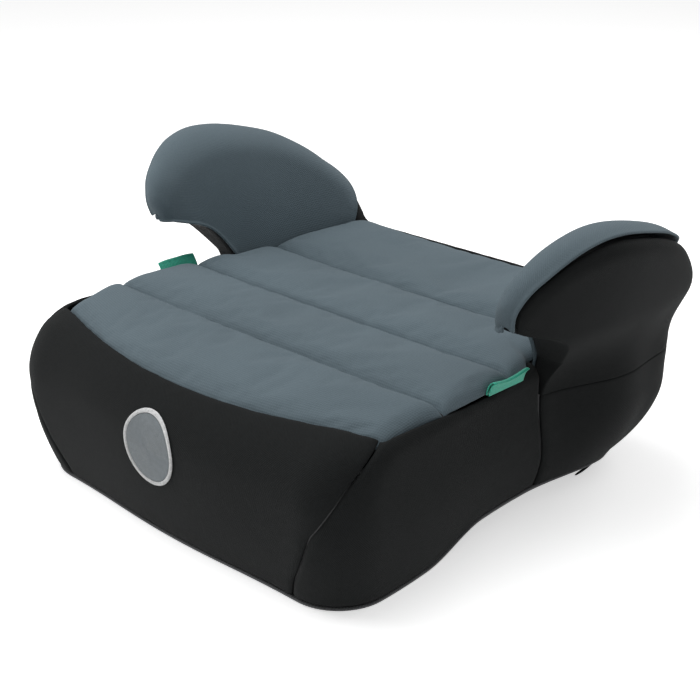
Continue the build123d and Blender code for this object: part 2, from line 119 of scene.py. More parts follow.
class SeatCoverColours(bpy.types.PropertyGroup):
    seat: bpy.props.FloatVectorProperty(
        name="Seat knit", description="Colour of the seat and inner armrests", subtype="COLOR",
        default=(0.104, 0.141, 0.163), min=0.0, max=1.0)
    body: bpy.props.FloatVectorProperty(
        name="Body cloth", description="Colour of the front, sides and back", subtype="COLOR",
        default=(0.0112, 0.0124, 0.0126), min=0.0, max=1.0)
    # Hem binding: its light grey is partly its own colour and partly painted reflection of floor light on the rim
    binding: bpy.props.FloatVectorProperty(
        name="Hem binding", description="Colour of the bound lower edge", subtype="COLOR",
        default=(0.085, 0.088, 0.092), min=0.0, max=1.0)
    ribbon: bpy.props.FloatVectorProperty(
        name="Ribbon", description="Colour of the belt tags", subtype="COLOR",
        default=(0.018, 0.42, 0.28), min=0.0, max=1.0)
    patch: bpy.props.FloatVectorProperty(
        name="Patch", description="Colour of the blank oval patch", subtype="COLOR",
        default=(0.21, 0.235, 0.25), min=0.0, max=1.0)
    thread: bpy.props.FloatVectorProperty(
        name="Border thread", description="Colour of the stitched border of the patch", subtype="COLOR",
        default=(0.74, 0.76, 0.76), min=0.0, max=1.0)
    plastic: bpy.props.FloatVectorProperty(
        name="Shell plastic", description="Colour of the moulded shell", subtype="COLOR",
        default=(0.03, 0.031, 0.033), min=0.0, max=1.0)


class SeatCoverStage(bpy.types.PropertyGroup):
    azimuth: bpy.props.FloatProperty(
        name="Azimuth", description="Camera direction round the seat", default=radians(44.36), subtype="ANGLE")
    elevation: bpy.props.FloatProperty(
        name="Elevation", description="Camera height above the floor line", default=radians(22.4),
        subtype="ANGLE")
    distance: bpy.props.FloatProperty(
        name="Distance", description="Camera distance from the seat", default=1.081, unit="LENGTH")
    lens: bpy.props.FloatProperty(
        name="Lens", description="Focal length on a 36 mm sensor, in millimetres", default=70.6)
    key: bpy.props.FloatProperty(
        name="Key light", description="Power of the large overhead softbox", default=15.0, unit="POWER")


# ---------------------------------------------------------------- small helpers
def mix(a, b, share):
    return a + (b - a) * share


def ease(share):
    """Smooth step from 0 to 1."""
    share = min(max(share, 0.0), 1.0)
    return share * share * (3.0 - 2.0 * share)


def solve(test, low, high, steps=26):
    """The place between low and high where test turns true."""
    for _ in range(steps):
        middle = 0.5 * (low + high)
        if test(middle):
            high = middle
        else:
            low = middle
    return 0.5 * (low + high)


def cubic(start, start_dir, end, end_dir, share, pull=0.39):
    """Point of the cubic that leaves and arrives along two unit directions."""
    length = pull * (end - start).length
    near = start + start_dir * length
    far = end - end_dir * length
    rest = 1.0 - share
    return (start * rest ** 3 + near * 3.0 * rest * rest * share
            + far * 3.0 * rest * share * share + end * share ** 3)


def spaced(count, ends=0.0):
    """Shares from 0 to 1; ends above 0 crowds them towards both ends."""
    even = [step / count for step in range(count + 1)]
    return [mix(s, 0.5 - 0.5 * cos(pi * s), ends) for s in even]


def resample(points, count, ends=0.0):
    """The same polyline with count + 1 points."""
    runs = [0.0]
    for a, b in zip(points, points[1:]):
        runs.append(runs[-1] + (b - a).length)
    out = []
    place = 0
    for share in spaced(count, ends):
        run = share * runs[-1]
        while place < len(points) - 2 and runs[place + 1] < run:
            place += 1
        span = max(runs[place + 1] - runs[place], 1e-9)
        out.append(points[place].lerp(points[place + 1], min(max((run - runs[place]) / span, 0.0), 1.0)))
    return out


# ---------------------------------------------------------------- the body's form
def body_stations(z):
    """Stations of the body's plan outline at height z, from the nose round to the rear."""
    tuck = max(0.0, 1.0 - z / BELLY) ** 2
    rise = min(max(0.0, z - BELLY) / (TOP - BELLY), 1.0)
    roll = ROLL * (1.0 - sqrt(1.0 - rise * rise))
    over = min(max(0.0, z - (TOP - SHOULDER)) / SHOULDER, 1.0)
    shoulder = SHOULDER * (1.0 - sqrt(1.0 - over * over))
    front = NOSE_Y + TUCK["front"] * tuck + roll
    half = FRONT_HALF - TUCK["side"] * tuck - shoulder
    waist = WAIST - TUCK["waist"] * tuck - shoulder
    haunch = HAUNCH - TUCK["haunch"] * tuck
    rear = REAR_Y - TUCK["rear"] * tuck - shoulder
    ahead, across = Vector((0, 1, 0)), Vector((1, 0, 0))
    side = haunch - FADE
    return [
        (Vector((0, front, z)), across),
        (Vector((half - CORNER_FRONT, front + BOW, z)), across),
        (Vector((half, front + BOW + CORNER_FRONT, z)), ahead),
        (Vector((waist, WAIST_Y, z)), ahead),
        (Vector((haunch, HAUNCH_Y, z)), ahead),
        (Vector((side, rear - CORNER_REAR, z)), ahead),
        (Vector((side - CORNER_REAR, rear, z)), -across),
        (Vector((0, rear, z)), -across),
    ]


class Ring:
    """The right half of the body's outline at one height, measured along its length."""

    def __init__(self, z):
        stations = body_stations(z)
        self.points = []
        for (start, start_dir), (end, end_dir) in zip(stations, stations[1:]):
            self.points += [cubic(start, start_dir, end, end_dir, step / 14) for step in range(14)]
        self.points.append(stations[-1][0])
        self.runs = [0.0]
        for a, b in zip(self.points, self.points[1:]):
            self.runs.append(self.runs[-1] + (b - a).length)

    def at(self, run):
        """Point at a run along the outline."""
        run = min(max(run, 0.0), self.runs[-1])
        low, high = 0, len(self.runs) - 1
        while high - low > 1:
            middle = (low + high) // 2
            if self.runs[middle] <= run:
                low = middle
            else:
                high = middle
        span = max(self.runs[high] - self.runs[low], 1e-9)
        return self.points[low].lerp(self.points[high], (run - self.runs[low]) / span)

    def where(self, test):
        """Run at which test first turns true, going from the nose to the rear."""
        for place in range(1, len(self.points)):
            if test(self.points[place]):
                return solve(lambda run: test(self.at(run)), self.runs[place - 1], self.runs[place])
        return self.runs[-1]


RINGS = {}


def ring(z):
    """The outline at height z, worked out once."""
    key = round(z, 1)
    if key not in RINGS:
        RINGS[key] = Ring(key)
    return RINGS[key]


ROLL_RUN = 0.5 * pi * (TOP - BELLY)


def climb_height(climb):
    """Height after climbing that far up the wall and over the rolled top."""
    if climb <= BELLY:
        return climb
    return BELLY + (TOP - BELLY) * sin(min((climb - BELLY) / (TOP - BELLY), 0.5 * pi))


def arch_lift(y):
    """Rise of the cover's lower edge at y."""
    rise = ease((y - ARCH["start"]) / ARCH["run"])
    fall = 1.0 - ease((y - ARCH["end"]) / ARCH["drop"])
    return ARCH["height"] * rise * fall


def front_seam_offset(z):
    """Where the front and side panels meet: distance from the 45 degree line through the origin."""
    knots = ((-20.0, -39.0), (20.0, -36.0), (61.0, -25.5), (97.0, -1.5), (130.0, 27.0))
    for (z_low, low), (z_high, high) in zip(knots, knots[1:]):
        if z <= z_high:
            return mix(low, high, (z - z_low) / (z_high - z_low))
    return knots[-1][1]


def front_seam_run(outline, z):
    """Run along the outline to the seam between front and side panel."""
    offset = front_seam_offset(z) * sqrt(2.0)
    return outline.where(lambda p: p.x + p.y >= offset)


def waist_seam_y(z):
    """The seam between side panel and rear quarter bows back towards the hem."""
    return WAIST_Y + 12.0 * ease((DECK - z) / 66.0)


def seat_front_edge(x):
    """The front seam of the seat in plan."""
    return SEAT_FRONT_Y + (SEAT_CORNER[1] - SEAT_FRONT_Y) * (x / SEAT_CORNER[0]) ** 2


def seat_half(y):
    """Half width of the seat at y."""
    if y < SEAT_ROOT_Y:
        share = (y - SEAT_CORNER[1]) / (SEAT_ROOT_Y - SEAT_CORNER[1])
        share = min(max(share, 0.0), 1.0)
        root = WAIST - 4.5
        return mix(SEAT_CORNER[0], root, share) + 5.6 * sin(pi * share) ** 0.8 * (1.0 - 0.3 * share)
    if y < WAIST_Y:
        return mix(WAIST - 4.5, 160.0, ease((y - SEAT_ROOT_Y) / (WAIST_Y - SEAT_ROOT_Y)))
    return mix(160.0, SEAT_REAR[0], (y - WAIST_Y) / (SEAT_REAR[1] - WAIST_Y))


# ---------------------------------------------------------------- the armrest's form
def arm_outer_x(y, z):
    """Half width of the armrest's outer face."""
    rise = (z - DECK) / (ARM_TOP - DECK)
    low = (WAIST + (HAUNCH - WAIST) * ease((y - WAIST_Y) / (HAUNCH_Y - WAIST_Y))
           - FADE * ease((y - HAUNCH_Y) / (REAR_Y - CORNER_REAR - HAUNCH_Y)))
    high = HAUNCH + (ARM_HALF - HAUNCH) * rise
    if y < ARM_WIDEST_Y:
        high -= 24.0 * ((ARM_WIDEST_Y - y) / (ARM_WIDEST_Y + 40.0)) ** 2
    else:
        high -= 10.0 * ((y - ARM_WIDEST_Y) / (REAR_Y - ARM_WIDEST_Y)) ** 2
    past = max(0.0, y - (REAR_Y - CORNER_REAR))
    corner = CORNER_REAR - sqrt(max(0.0, CORNER_REAR ** 2 - past ** 2))
    share = ease(rise / 0.45)
    return low + (high - low) * share - corner * (1.0 - 0.4 * share)


def arm_inner_x(y, z):
    """Half width of the armrest's inner face."""
    rise = (z - DECK) / (ARM_TOP - DECK)
    share = max((y - WAIST_Y) / (SEAT_REAR[1] - WAIST_Y), 0.0)
    side = mix(160.0, SEAT_REAR[0], share)
    toe = 8.0 * rise * rise * ((y - ARM_WIDEST_Y) / (REAR_Y - ARM_WIDEST_Y)) ** 2
    tip = 5.5 * ease((60.0 - y) / 80.0) * ease(rise / 0.4)
    return side + 0.6 + 23.0 * rise * rise - toe + tip


def ridge_at(place):
    """Point of the armrest's ridge at a place counted in stations."""
    last = len(RIDGE) - 1
    index = min(int(place), last - 1)
    share = place - index
    four = [RIDGE[min(max(index + step, 0), last)] for step in (-1, 0, 1, 2)]
    out = []
    for axis in (0, 1):
        a, b, c, d = [knot[axis] for knot in four]
        out.append(0.5 * (2.0 * b + (c - a) * share + (2.0 * a - 5.0 * b + 4.0 * c - d) * share ** 2
                          + (3.0 * b - a - 3.0 * c + d) * share ** 3))
    return out[0], DECK + out[1] * (ARM_TOP - DECK)


def slot_points():
    """The slot's edge, from its foot over its roof, as a smooth polyline."""
    points = [Vector((0.0, SLOT[0][0], SLOT[0][1])), Vector((0.0, SLOT[1][0], SLOT[1][1]))]
    knots = [Vector((0.0, *knot)) for knot in SLOT[1:]]
    for index in range(len(knots) - 1):
        a = knots[max(index - 1, 0)]
        b, c = knots[index], knots[index + 1]
        d = knots[min(index + 2, len(knots) - 1)]
        for step in range(1, 11):
            s = step / 10
            points.append(0.5 * (2.0 * b + (c - a) * s + (2.0 * a - 5.0 * b + 4.0 * c - d) * s * s
                                 + (3.0 * b - a - 3.0 * c + d) * s ** 3))
    return points


SLOT_EDGE = slot_points()


def slot_radius(direction):
    """Distance from the hub to the slot's edge along a direction."""
    best = 2.0
    for a, b in zip(SLOT_EDGE, SLOT_EDGE[1:]):
        ay, az = a.y - HUB[0], a.z - HUB[1]
        by, bz = b.y - a.y, b.z - a.z
        cross = direction[0] * bz - direction[1] * by
        if abs(cross) < 1e-9:
            continue
        radius = (ay * bz - az * by) / cross
        share = (ay * direction[1] - az * direction[0]) / cross
        if radius > 0.0 and -1e-6 <= share <= 1.0 + 1e-6:
            best = max(best, radius)
    return best


def arm_section(place):
    """One section of the armrest: from the slot up the inner face, over the ridge and down the outer face."""
    ridge_y, ridge_z = ridge_at(place)
    reach = hypot(ridge_y - HUB[0], ridge_z - HUB[1])
    direction = ((ridge_y - HUB[0]) / reach, (ridge_z - HUB[1]) / reach)
    reach -= 4.0 * ease((place - 6.0) / 3.0)
    shoulder = reach - 18.0
    left = len(RIDGE) - 1 - place
    close = 1.0 if left > 3.0 else mix(0.55, 1.0, sqrt(max(left, 0.0) / 3.0))
    start = min(slot_radius(direction), reach - 1.0)

    def point(radius, across):
        y = HUB[0] + radius * direction[0]
        z = HUB[1] + radius * direction[1]
        inner, outer = arm_inner_x(y, z), arm_outer_x(y, z)
        half = max(0.5 * (outer - inner), 1.5) * close
        return Vector((0.5 * (inner + outer) + across * half, y, z))

    first = asin(min(max((start - shoulder) / 18.0, 0.0), 0.999))
    straight = [mix(start, shoulder, step / 16) for step in range(16)] if start < shoulder else []
    turn = [mix(first, 0.5 * pi, step / 14) for step in range(15)]
    inner = [point(radius, -1.0) for radius in straight]
    inner += [point(shoulder + 18.0 * sin(angle), -cos(angle)) for angle in turn]
    outer = [point(shoulder + 18.0 * sin(angle), cos(angle)) for angle in reversed(turn[:-1])]
    return inner + outer + [point(radius, 1.0) for radius in reversed(straight)]


def arm_seam_x(y, z):
    """Half width of the seam between the armrest's inner and outer panels."""
    wrap = 24.0 * ease((y - HAUNCH_Y) / (REAR_Y - HAUNCH_Y))
    return arm_outer_x(y, z) - mix(5.0, 9.0, ease((y + 30.0) / 60.0)) - wrap


def arm_split(section):
    """The section's inner and outer parts, which meet at the seam."""
    for place in range(3, len(section) - 2):
        p = section[place]
        if p.x >= arm_seam_x(p.y, p.z):
            q = section[place - 1]
            before = q.x - arm_seam_x(q.y, q.z)
            after = p.x - arm_seam_x(p.y, p.z)
            share = -before / max(after - before, 1e-6)
            cut = q.lerp(p, min(max(share, 0.0), 1.0))
            return section[:place] + [cut], [cut] + section[place:]
    middle = len(section) // 2
    return section[:middle + 1], section[middle:]


# ---------------------------------------------------------------- making meshes
def add_object(name, data):
    """A new object in the scene."""
    made = bpy.data.objects.new(name, data)
    bpy.context.scene.collection.objects.link(made)
    return made


def sewn_grid(name, rows, mirror=False, loop=False):
    """A smooth mesh through rows of points in millimetres, with its cloth lengths as its UV map."""
    side = -1.0 if mirror else 1.0
    width = len(rows[0])
    vertices = [(side * p.x * MM, p.y * MM, p.z * MM) for row in rows for p in row]
    faces = []
    for i in range(len(rows) - 1):
        for j in range(width - (0 if loop else 1)):
            k = (j + 1) % width
            face = (i * width + j, i * width + k, (i + 1) * width + k, (i + 1) * width + j)
            faces.append(face[::-1] if mirror else face)
    mesh = bpy.data.meshes.new(name)
    mesh.from_pydata(vertices, [], faces)
    down = [0.0] * width
    uv = []
    for i, row in enumerate(rows):
        across = 0.0
        for j in range(width):
            if i:
                down[j] += (row[j] - rows[i - 1][j]).length
            if j:
                across += (row[j] - row[j - 1]).length
            uv.append((across * MM, down[j] * MM))
    layer = mesh.uv_layers.new(name="Cloth")
    for loop_corner in mesh.loops:
        layer.data[loop_corner.index].uv = uv[loop_corner.vertex_index]
    for polygon in mesh.polygons:
        polygon.use_smooth = True
    mesh.update()
    return add_object(name, mesh)


def thicken(piece, thickness, subdivisions=1):
    """Gives cloth its thickness, inward, and a smooth surface."""
    solid = piece.modifiers.new("Thickness", "SOLIDIFY")
    solid.thickness = thickness
    solid.offset = -1.0
    smooth = piece.modifiers.new("Smooth", "SUBSURF")
    smooth.levels = subdivisions
    smooth.render_levels = subdivisions
    return piece


def dress(piece, material, nodes=()):
    """Finishes a piece: its material, its place on the body and the nodes it stands for."""
    piece.data.materials.append(material)
    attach(piece, BODY)
    if nodes:
        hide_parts(*nodes)
    return piece


def sink_edges(rows, depth, reach, sides="tblr", wrinkle=0.0):
    """Draws the edges of a panel in along its normals, as a seam does, with fine puckers beside it."""
    count, width = len(rows), len(rows[0])
    across = [[0.0] * width for _ in rows]
    down = [[0.0] * width for _ in rows]
    for i in range(count):
        for j in range(1, width):
            across[i][j] = across[i][j - 1] + (rows[i][j] - rows[i][j - 1]).length
    for j in range(width):
        for i in range(1, count):
            down[i][j] = down[i - 1][j] + (rows[i][j] - rows[i - 1][j]).length
    out = []
    for i in range(count):
        line = []
        for j in range(width):
            along = rows[i][min(j + 1, width - 1)] - rows[i][max(j - 1, 0)]
            fall = rows[min(i + 1, count - 1)][j] - rows[max(i - 1, 0)][j]
            normal = along.cross(fall)
            if normal.length > 1e-9:
                normal.normalize()
            gaps = []
            if "t" in sides:
                gaps.append(down[i][j])
            if "b" in sides:
                gaps.append(down[-1][j] - down[i][j])
            if "l" in sides:
                gaps.append(across[i][j])
            if "r" in sides:
                gaps.append(across[i][-1] - across[i][j])
            gap = min(gaps) if gaps else 1e9
            p = rows[i][j]
            amount = depth * exp(-(gap / reach) ** 2)
            pucker = 0.0
            if wrinkle:
                wave = noise.noise(Vector((p.x * 0.11, p.y * 0.11, p.z * 0.11)))
                soft = noise.noise(Vector((p.x * 0.02, p.y * 0.02, p.z * 0.02 + 7.0)))
                pucker = wrinkle * (wave * exp(-gap / 14.0) + 0.9 * soft * (1.0 - exp(-gap / 25.0)))
            line.append(p + normal * (pucker - amount))
        out.append(line)
    return out


def outward(rows):
    """The rows, in the order that makes their normals point away from the seat's middle."""
    i, j = len(rows) // 2, len(rows[0]) // 2
    normal = (rows[i][j + 1] - rows[i][j]).cross(rows[i + 1][j] - rows[i][j])
    away = rows[i][j] - Vector((0.0, 0.0, 70.0))
    return rows if normal.dot(away) > 0.0 else [row[::-1] for row in rows]


def inflate(piece, pinned, pressure, cap):
    """Lets cloth swell under a little pressure between its pinned seams, no further than cap."""
    if cap <= 0.0:
        return
    rest = [v.co.copy() for v in piece.data.vertices]
    group = piece.vertex_groups.new(name="Sewn")
    group.add(pinned, 1.0, "REPLACE")
    cloth = piece.modifiers.new("Cloth", "CLOTH")
    cloth.settings.vertex_group_mass = "Sewn"
    cloth.settings.use_pressure = True
    cloth.settings.uniform_pressure_force = pressure
    cloth.settings.effector_weights.gravity = 0.0
    cloth.settings.quality = 6
    cloth.settings.mass = 0.3
    cloth.settings.tension_stiffness = 20.0
    cloth.settings.compression_stiffness = 20.0
    cloth.settings.bending_stiffness = 0.6
    cloth.settings.shrink_min = -0.005
    scene = bpy.context.scene
    for number in range(1, 21):
        scene.frame_set(number)
    graph = bpy.context.evaluated_depsgraph_get()
    swollen = piece.evaluated_get(graph)
    moved = [v.co.copy() for v in swollen.data.vertices]
    piece.modifiers.remove(cloth)
    scene.frame_set(1)
    for vertex, start, end in zip(piece.data.vertices, rest, moved):
        step = end - start
        if step.length > cap:
            step = step.normalized() * cap
        vertex.co = start + step
    piece.data.update()


# ---------------------------------------------------------------- materials
class Shader:
    """A small helper that wires one material's nodes."""

    def __init__(self, name, colour, roughness):
        self.material = bpy.data.materials.new(name)
        self.material.use_nodes = True
        self.tree = self.material.node_tree
        self.tree.nodes.clear()
        self.surface = self.node("ShaderNodeBsdfPrincipled")
        self.surface.inputs["Base Color"].default_value = (*colour, 1.0)
        self.surface.inputs["Roughness"].default_value = roughness
        result = self.node("ShaderNodeOutputMaterial")
        self.link(self.surface.outputs["BSDF"], result.inputs["Surface"])
        self.colour = tuple(colour)

    def node(self, kind, **values):
        made = self.tree.nodes.new(kind)
        for key, value in values.items():
            if hasattr(made, key):
                setattr(made, key, value)
            else:
                made.inputs[key].default_value = value
        return made

    def link(self, source, target):
        self.tree.links.new(source, target)

    def maths(self, operation, first, second):
        made = self.node("ShaderNodeMath", operation=operation)
        for socket, value in zip(made.inputs, (first, second)):
            if isinstance(value, (int, float)):
                socket.default_value = value
            else:
                self.link(value, socket)
        return made.outputs[0]

    def tint(self, factor, dark, light):
        """Base colour from dark to light shares of the material's colour, by factor."""
        ramp = self.node("ShaderNodeValToRGB")
        low, high = ramp.color_ramp.elements
        low.color = (*[min(value * dark, 1.0) for value in self.colour], 1.0)
        high.color = (*[min(value * light, 1.0) for value in self.colour], 1.0)
        self.link(factor, ramp.inputs["Fac"])
        self.link(ramp.outputs["Color"], self.surface.inputs["Base Color"])

    def bump(self, height, strength, distance):
        made = self.node("ShaderNodeBump")
        made.inputs["Strength"].default_value = strength
        made.inputs["Distance"].default_value = distance
        self.link(height, made.inputs["Height"])
        self.link(made.outputs["Normal"], self.surface.inputs["Normal"])


def knit(name, colour, pitch, roughness, sheen, depth):
    """Fine jersey: columns of small loops, slightly mottled."""
    shader = Shader(name, colour, roughness)
    shader.surface.inputs["Sheen Weight"].default_value = sheen
    shader.surface.inputs["Sheen Roughness"].default_value = 0.45
    shader.surface.inputs["Specular IOR Level"].default_value = 0.25
    place = shader.node("ShaderNodeTexCoord")
    scale = 2.0 * pi / pitch
    split = shader.node("ShaderNodeSeparateXYZ")
    shader.link(place.outputs["UV"], split.inputs[0])
    wale = shader.maths("SINE", shader.maths("MULTIPLY", split.outputs["X"], scale), 0.0)
    lean = shader.maths("MULTIPLY", shader.maths("ABSOLUTE", wale, 0.0), 1.3)
    course = shader.maths("MULTIPLY", split.outputs["Y"], 0.8 * scale)
    loops = shader.maths("SINE", shader.maths("ADD", course, lean), 0.0)
    weave = shader.maths("ADD", shader.maths("MULTIPLY", wale, 0.5), shader.maths("MULTIPLY", loops, 0.5))
    fibre = shader.node("ShaderNodeTexNoise", Scale=900.0, Detail=3.0)
    shader.link(place.outputs["Object"], fibre.inputs["Vector"])
    cloud = shader.node("ShaderNodeTexNoise", Scale=9.0, Detail=4.0)
    shader.link(place.outputs["Object"], cloud.inputs["Vector"])
    grain = shader.maths("ADD", shader.maths("MULTIPLY", weave, 0.16),
                         shader.maths("MULTIPLY", fibre.outputs["Fac"], 0.45))
    shade = shader.maths("ADD", grain, shader.maths("MULTIPLY", cloud.outputs["Fac"], 0.5))
    shader.tint(shade, 0.72, 1.3)
    height = shader.maths("ADD", shader.maths("MULTIPLY", weave, 0.5),
                          shader.maths("MULTIPLY", fibre.outputs["Fac"], 0.8))
    shader.bump(height, 0.5, depth)
    return shader.material


def plain_weave(name, colour, pitch, roughness, sheen, depth):
    """Woven polyester: warp over weft, with slubs in both."""
    shader = Shader(name, colour, roughness)
    shader.surface.inputs["Sheen Weight"].default_value = sheen
    shader.surface.inputs["Sheen Roughness"].default_value = 0.4
    shader.surface.inputs["Specular IOR Level"].default_value = 0.12
    place = shader.node("ShaderNodeTexCoord")
    scale = 2.0 * pi / pitch
    split = shader.node("ShaderNodeSeparateXYZ")
    shader.link(place.outputs["UV"], split.inputs[0])
    warp = shader.maths("SINE", shader.maths("MULTIPLY", split.outputs["X"], scale), 0.0)
    weft = shader.maths("SINE", shader.maths("MULTIPLY", split.outputs["Y"], scale), 0.0)
    weave = shader.maths("MULTIPLY", warp, weft)
    slub = shader.node("ShaderNodeTexNoise", Scale=320.0, Detail=4.0)
    shader.link(place.outputs["Object"], slub.inputs["Vector"])
    cloud = shader.node("ShaderNodeTexNoise", Scale=7.0, Detail=3.0)
    shader.link(place.outputs["Object"], cloud.inputs["Vector"])
    grain = shader.maths("ADD", shader.maths("MULTIPLY", weave, 0.12),
                         shader.maths("MULTIPLY", slub.outputs["Fac"], 0.5))
    shade = shader.maths("ADD", grain, shader.maths("MULTIPLY", cloud.outputs["Fac"], 0.45))
    shader.tint(shade, 0.65, 1.4)
    shader.bump(shader.maths("ADD", weave, slub.outputs["Fac"]), 0.45, depth)
    return shader.material


def ribbed(name, colour, pitch, roughness, sheen=0.2):
    """Grosgrain or satin: close ribs across the ribbon."""
    shader = Shader(name, colour, roughness)
    shader.surface.inputs["Sheen Weight"].default_value = sheen
    place = shader.node("ShaderNodeTexCoord")
    split = shader.node("ShaderNodeSeparateXYZ")
    shader.link(place.outputs["UV"], split.inputs[0])
    rib = shader.maths("SINE", shader.maths("MULTIPLY", split.outputs["X"], 2.0 * pi / pitch), 0.0)
    fibre = shader.node("ShaderNodeTexNoise", Scale=500.0, Detail=3.0)
    shader.link(place.outputs["Object"], fibre.inputs["Vector"])
    shade = shader.maths("ADD", shader.maths("MULTIPLY", rib, 0.2), fibre.outputs["Fac"])
    shader.tint(shade, 0.6, 1.35)
    shader.bump(rib, 0.5, 0.0002)
    return shader.material


def moulded(name, colour, roughness, grain=700.0):
    """Moulded plastic with a fine spark-eroded texture."""
    shader = Shader(name, colour, roughness)
    place = shader.node("ShaderNodeTexCoord")
    pits = shader.node("ShaderNodeTexNoise", Scale=grain, Detail=2.0)
    shader.link(place.outputs["Object"], pits.inputs["Vector"])
    flow = shader.node("ShaderNodeTexNoise", Scale=14.0, Detail=3.0)
    shader.link(place.outputs["Object"], flow.inputs["Vector"])
    shader.tint(flow.outputs["Fac"], 0.85, 1.2)
    shader.bump(pits.outputs["Fac"], 0.3, 0.00015)
    return shader.material


def zinc(name):
    """Zinc-plated steel with a faint drawn grain."""
    shader = Shader(name, (0.55, 0.56, 0.57), 0.32)
    shader.surface.inputs["Metallic"].default_value = 1.0
    place = shader.node("ShaderNodeTexCoord")
    grain = shader.node("ShaderNodeTexNoise", Scale=240.0, Detail=3.0)
    shader.link(place.outputs["Object"], grain.inputs["Vector"])
    shader.tint(grain.outputs["Fac"], 0.85, 1.1)
    shader.bump(grain.outputs["Fac"], 0.2, 0.0001)
    return shader.material


MATERIALS = {}


def finish_of(name):
    """The material of that name, made once from the scene's colours."""
    if name not in MATERIALS:
        colours = bpy.context.scene.seat_cover_colours
        makers = {
            "seat knit": lambda: knit("Seat knit", colours.seat, 0.0016, 0.8, 0.06, 0.0004),
            "body cloth": lambda: plain_weave("Body cloth", colours.body, 0.0014, 0.8, 0.02, 0.0003),
            # the seam line takes the near-black body colour: painted shade in the seat's seam grooves, on top of
            # the thread
            "seam": lambda: ribbed("Seam thread with painted groove shade", colours.body, 0.0012, 0.75, 0.0),
            # the binding's light grey is partly painted reflection of floor light
            "binding": lambda: ribbed("Hem binding", colours.binding, 0.0022, 0.7),
            "ribbon": lambda: ribbed("Belt tag ribbon", colours.ribbon, 0.0014, 0.5),
            "patch": lambda: plain_weave("Patch felt", colours.patch, 0.0011, 0.8, 0.3, 0.0003),
            "thread": lambda: ribbed("Border thread", colours.thread, 0.0009, 0.45),
            "plastic": lambda: moulded("Shell plastic", colours.plastic, 0.5),
            "hook": lambda: moulded("Hook plastic", (0.05, 0.05, 0.052), 0.4),
            "zinc": lambda: zinc("Zinc plate"),
        }
        MATERIALS[name] = makers[name]()
    return MATERIALS[name]


# ---------------------------------------------------------------- panels of the body
def body_panel(columns, rows, run_at, climb_low, climb_high):
    """Rows of points over the body's wall between two heights; run_at gives the run for a share and ring."""
    out = []
    for share_up in spaced(rows, 0.35):
        line = []
        for share in spaced(columns, 0.35):
            climb = mix(climb_low(share), climb_high(share), share_up)
            z = climb_height(climb)
            outline = ring(z)
            line.append(outline.at(run_at(share, outline, z)))
        out.append(line)
    return out


def lower_edge(share, run_at):
    """Climb of the hem under one column."""
    climb = HEM_Z
    for _ in range(6):
        outline = ring(climb)
        climb = HEM_Z + arch_lift(outline.at(run_at(share, outline, climb)).y)
    return climb


def upper_edge(share, run_at, inside):
    """Climb at which a column reaches the seat's seam."""
    def reached(climb):
        z = climb_height(climb)
        outline = ring(z)
        return inside(outline.at(run_at(share, outline, z)))
    return solve(reached, BELLY, BELLY + ROLL_RUN)


def front_rows():
    """The front panel, from side to side."""
    def run_at(share, outline, z):
        return share * front_seam_run(outline, z)

    def inside(p):
        return p.y >= seat_front_edge(p.x)

    right = body_panel(44, 40, run_at, lambda s: HEM_Z, lambda s: upper_edge(s, run_at, inside))
    return [[Vector((-p.x, p.y, p.z)) for p in reversed(row[1:])] + row for row in right]


def side_rows():
    """The side panel, from the front seam to the seam at the waist."""
    def run_at(share, outline, z):
        start = front_seam_run(outline, z)
        end = outline.where(lambda p: p.y >= waist_seam_y(z))
        return mix(start, end, share)

    def inside(p):
        return abs(p.x) <= seat_half(p.y) and p.y >= seat_front_edge(p.x) - 0.5

    return body_panel(56, 40, run_at, lambda s: lower_edge(s, run_at),
                      lambda s: upper_edge(s, run_at, inside))


def rear_rows():
    """The back panel, from side to side."""
    def run_at(share, outline, z):
        start = outline.where(lambda p: p.y > HAUNCH_Y and p.x <= SEAT_REAR[0] + 1.0)
        return mix(outline.runs[-1], start, share)

    def inside(p):
        return p.y <= SEAT_REAR[1] + 0.5

    right = body_panel(40, 34, run_at, lambda s: lower_edge(s, run_at),
                       lambda s: upper_edge(s, run_at, inside))
    return [[Vector((-p.x, p.y, p.z)) for p in reversed(row[1:])] + row for row in right]


def quarter_rows(top):
    """The rear quarter below the armrest, from the waist seam round to the back panel."""
    lengths = [0.0]
    for a, b in zip(top, top[1:]):
        lengths.append(lengths[-1] + (b - a).length)
    shares = [length / lengths[-1] for length in lengths]

    def run_at(share, outline, z):
        start = outline.where(lambda p: p.y >= waist_seam_y(z))
        end = outline.where(lambda p: p.y > HAUNCH_Y and p.x <= SEAT_REAR[0] + 1.0)
        return mix(start, end, share)

    joint = ring(DECK)
    offsets = [p - joint.at(run_at(share, joint, DECK)) for p, share in zip(top, shares)]
    lows = [lower_edge(share, run_at) for share in shares]
    out = []
    for up in spaced(26, 0.2):
        line = []
        for share, offset, low in zip(shares, offsets, lows):
            z = mix(low, DECK, up)
            outline = ring(z)
            line.append(outline.at(run_at(share, outline, z)) + offset * ease((z - 62.0) / (DECK - 62.0)))
        out.append(line)
    return out


# ---------------------------------------------------------------- seat channels
def seat_edge_height(x, y):
    """Height of the seat's outer seam."""
    start = VALLEY - NOSE_DROP + 3.0
    return mix(start, VALLEY - 2.5, ease((y - SEAT_FRONT_Y) / 52.0))


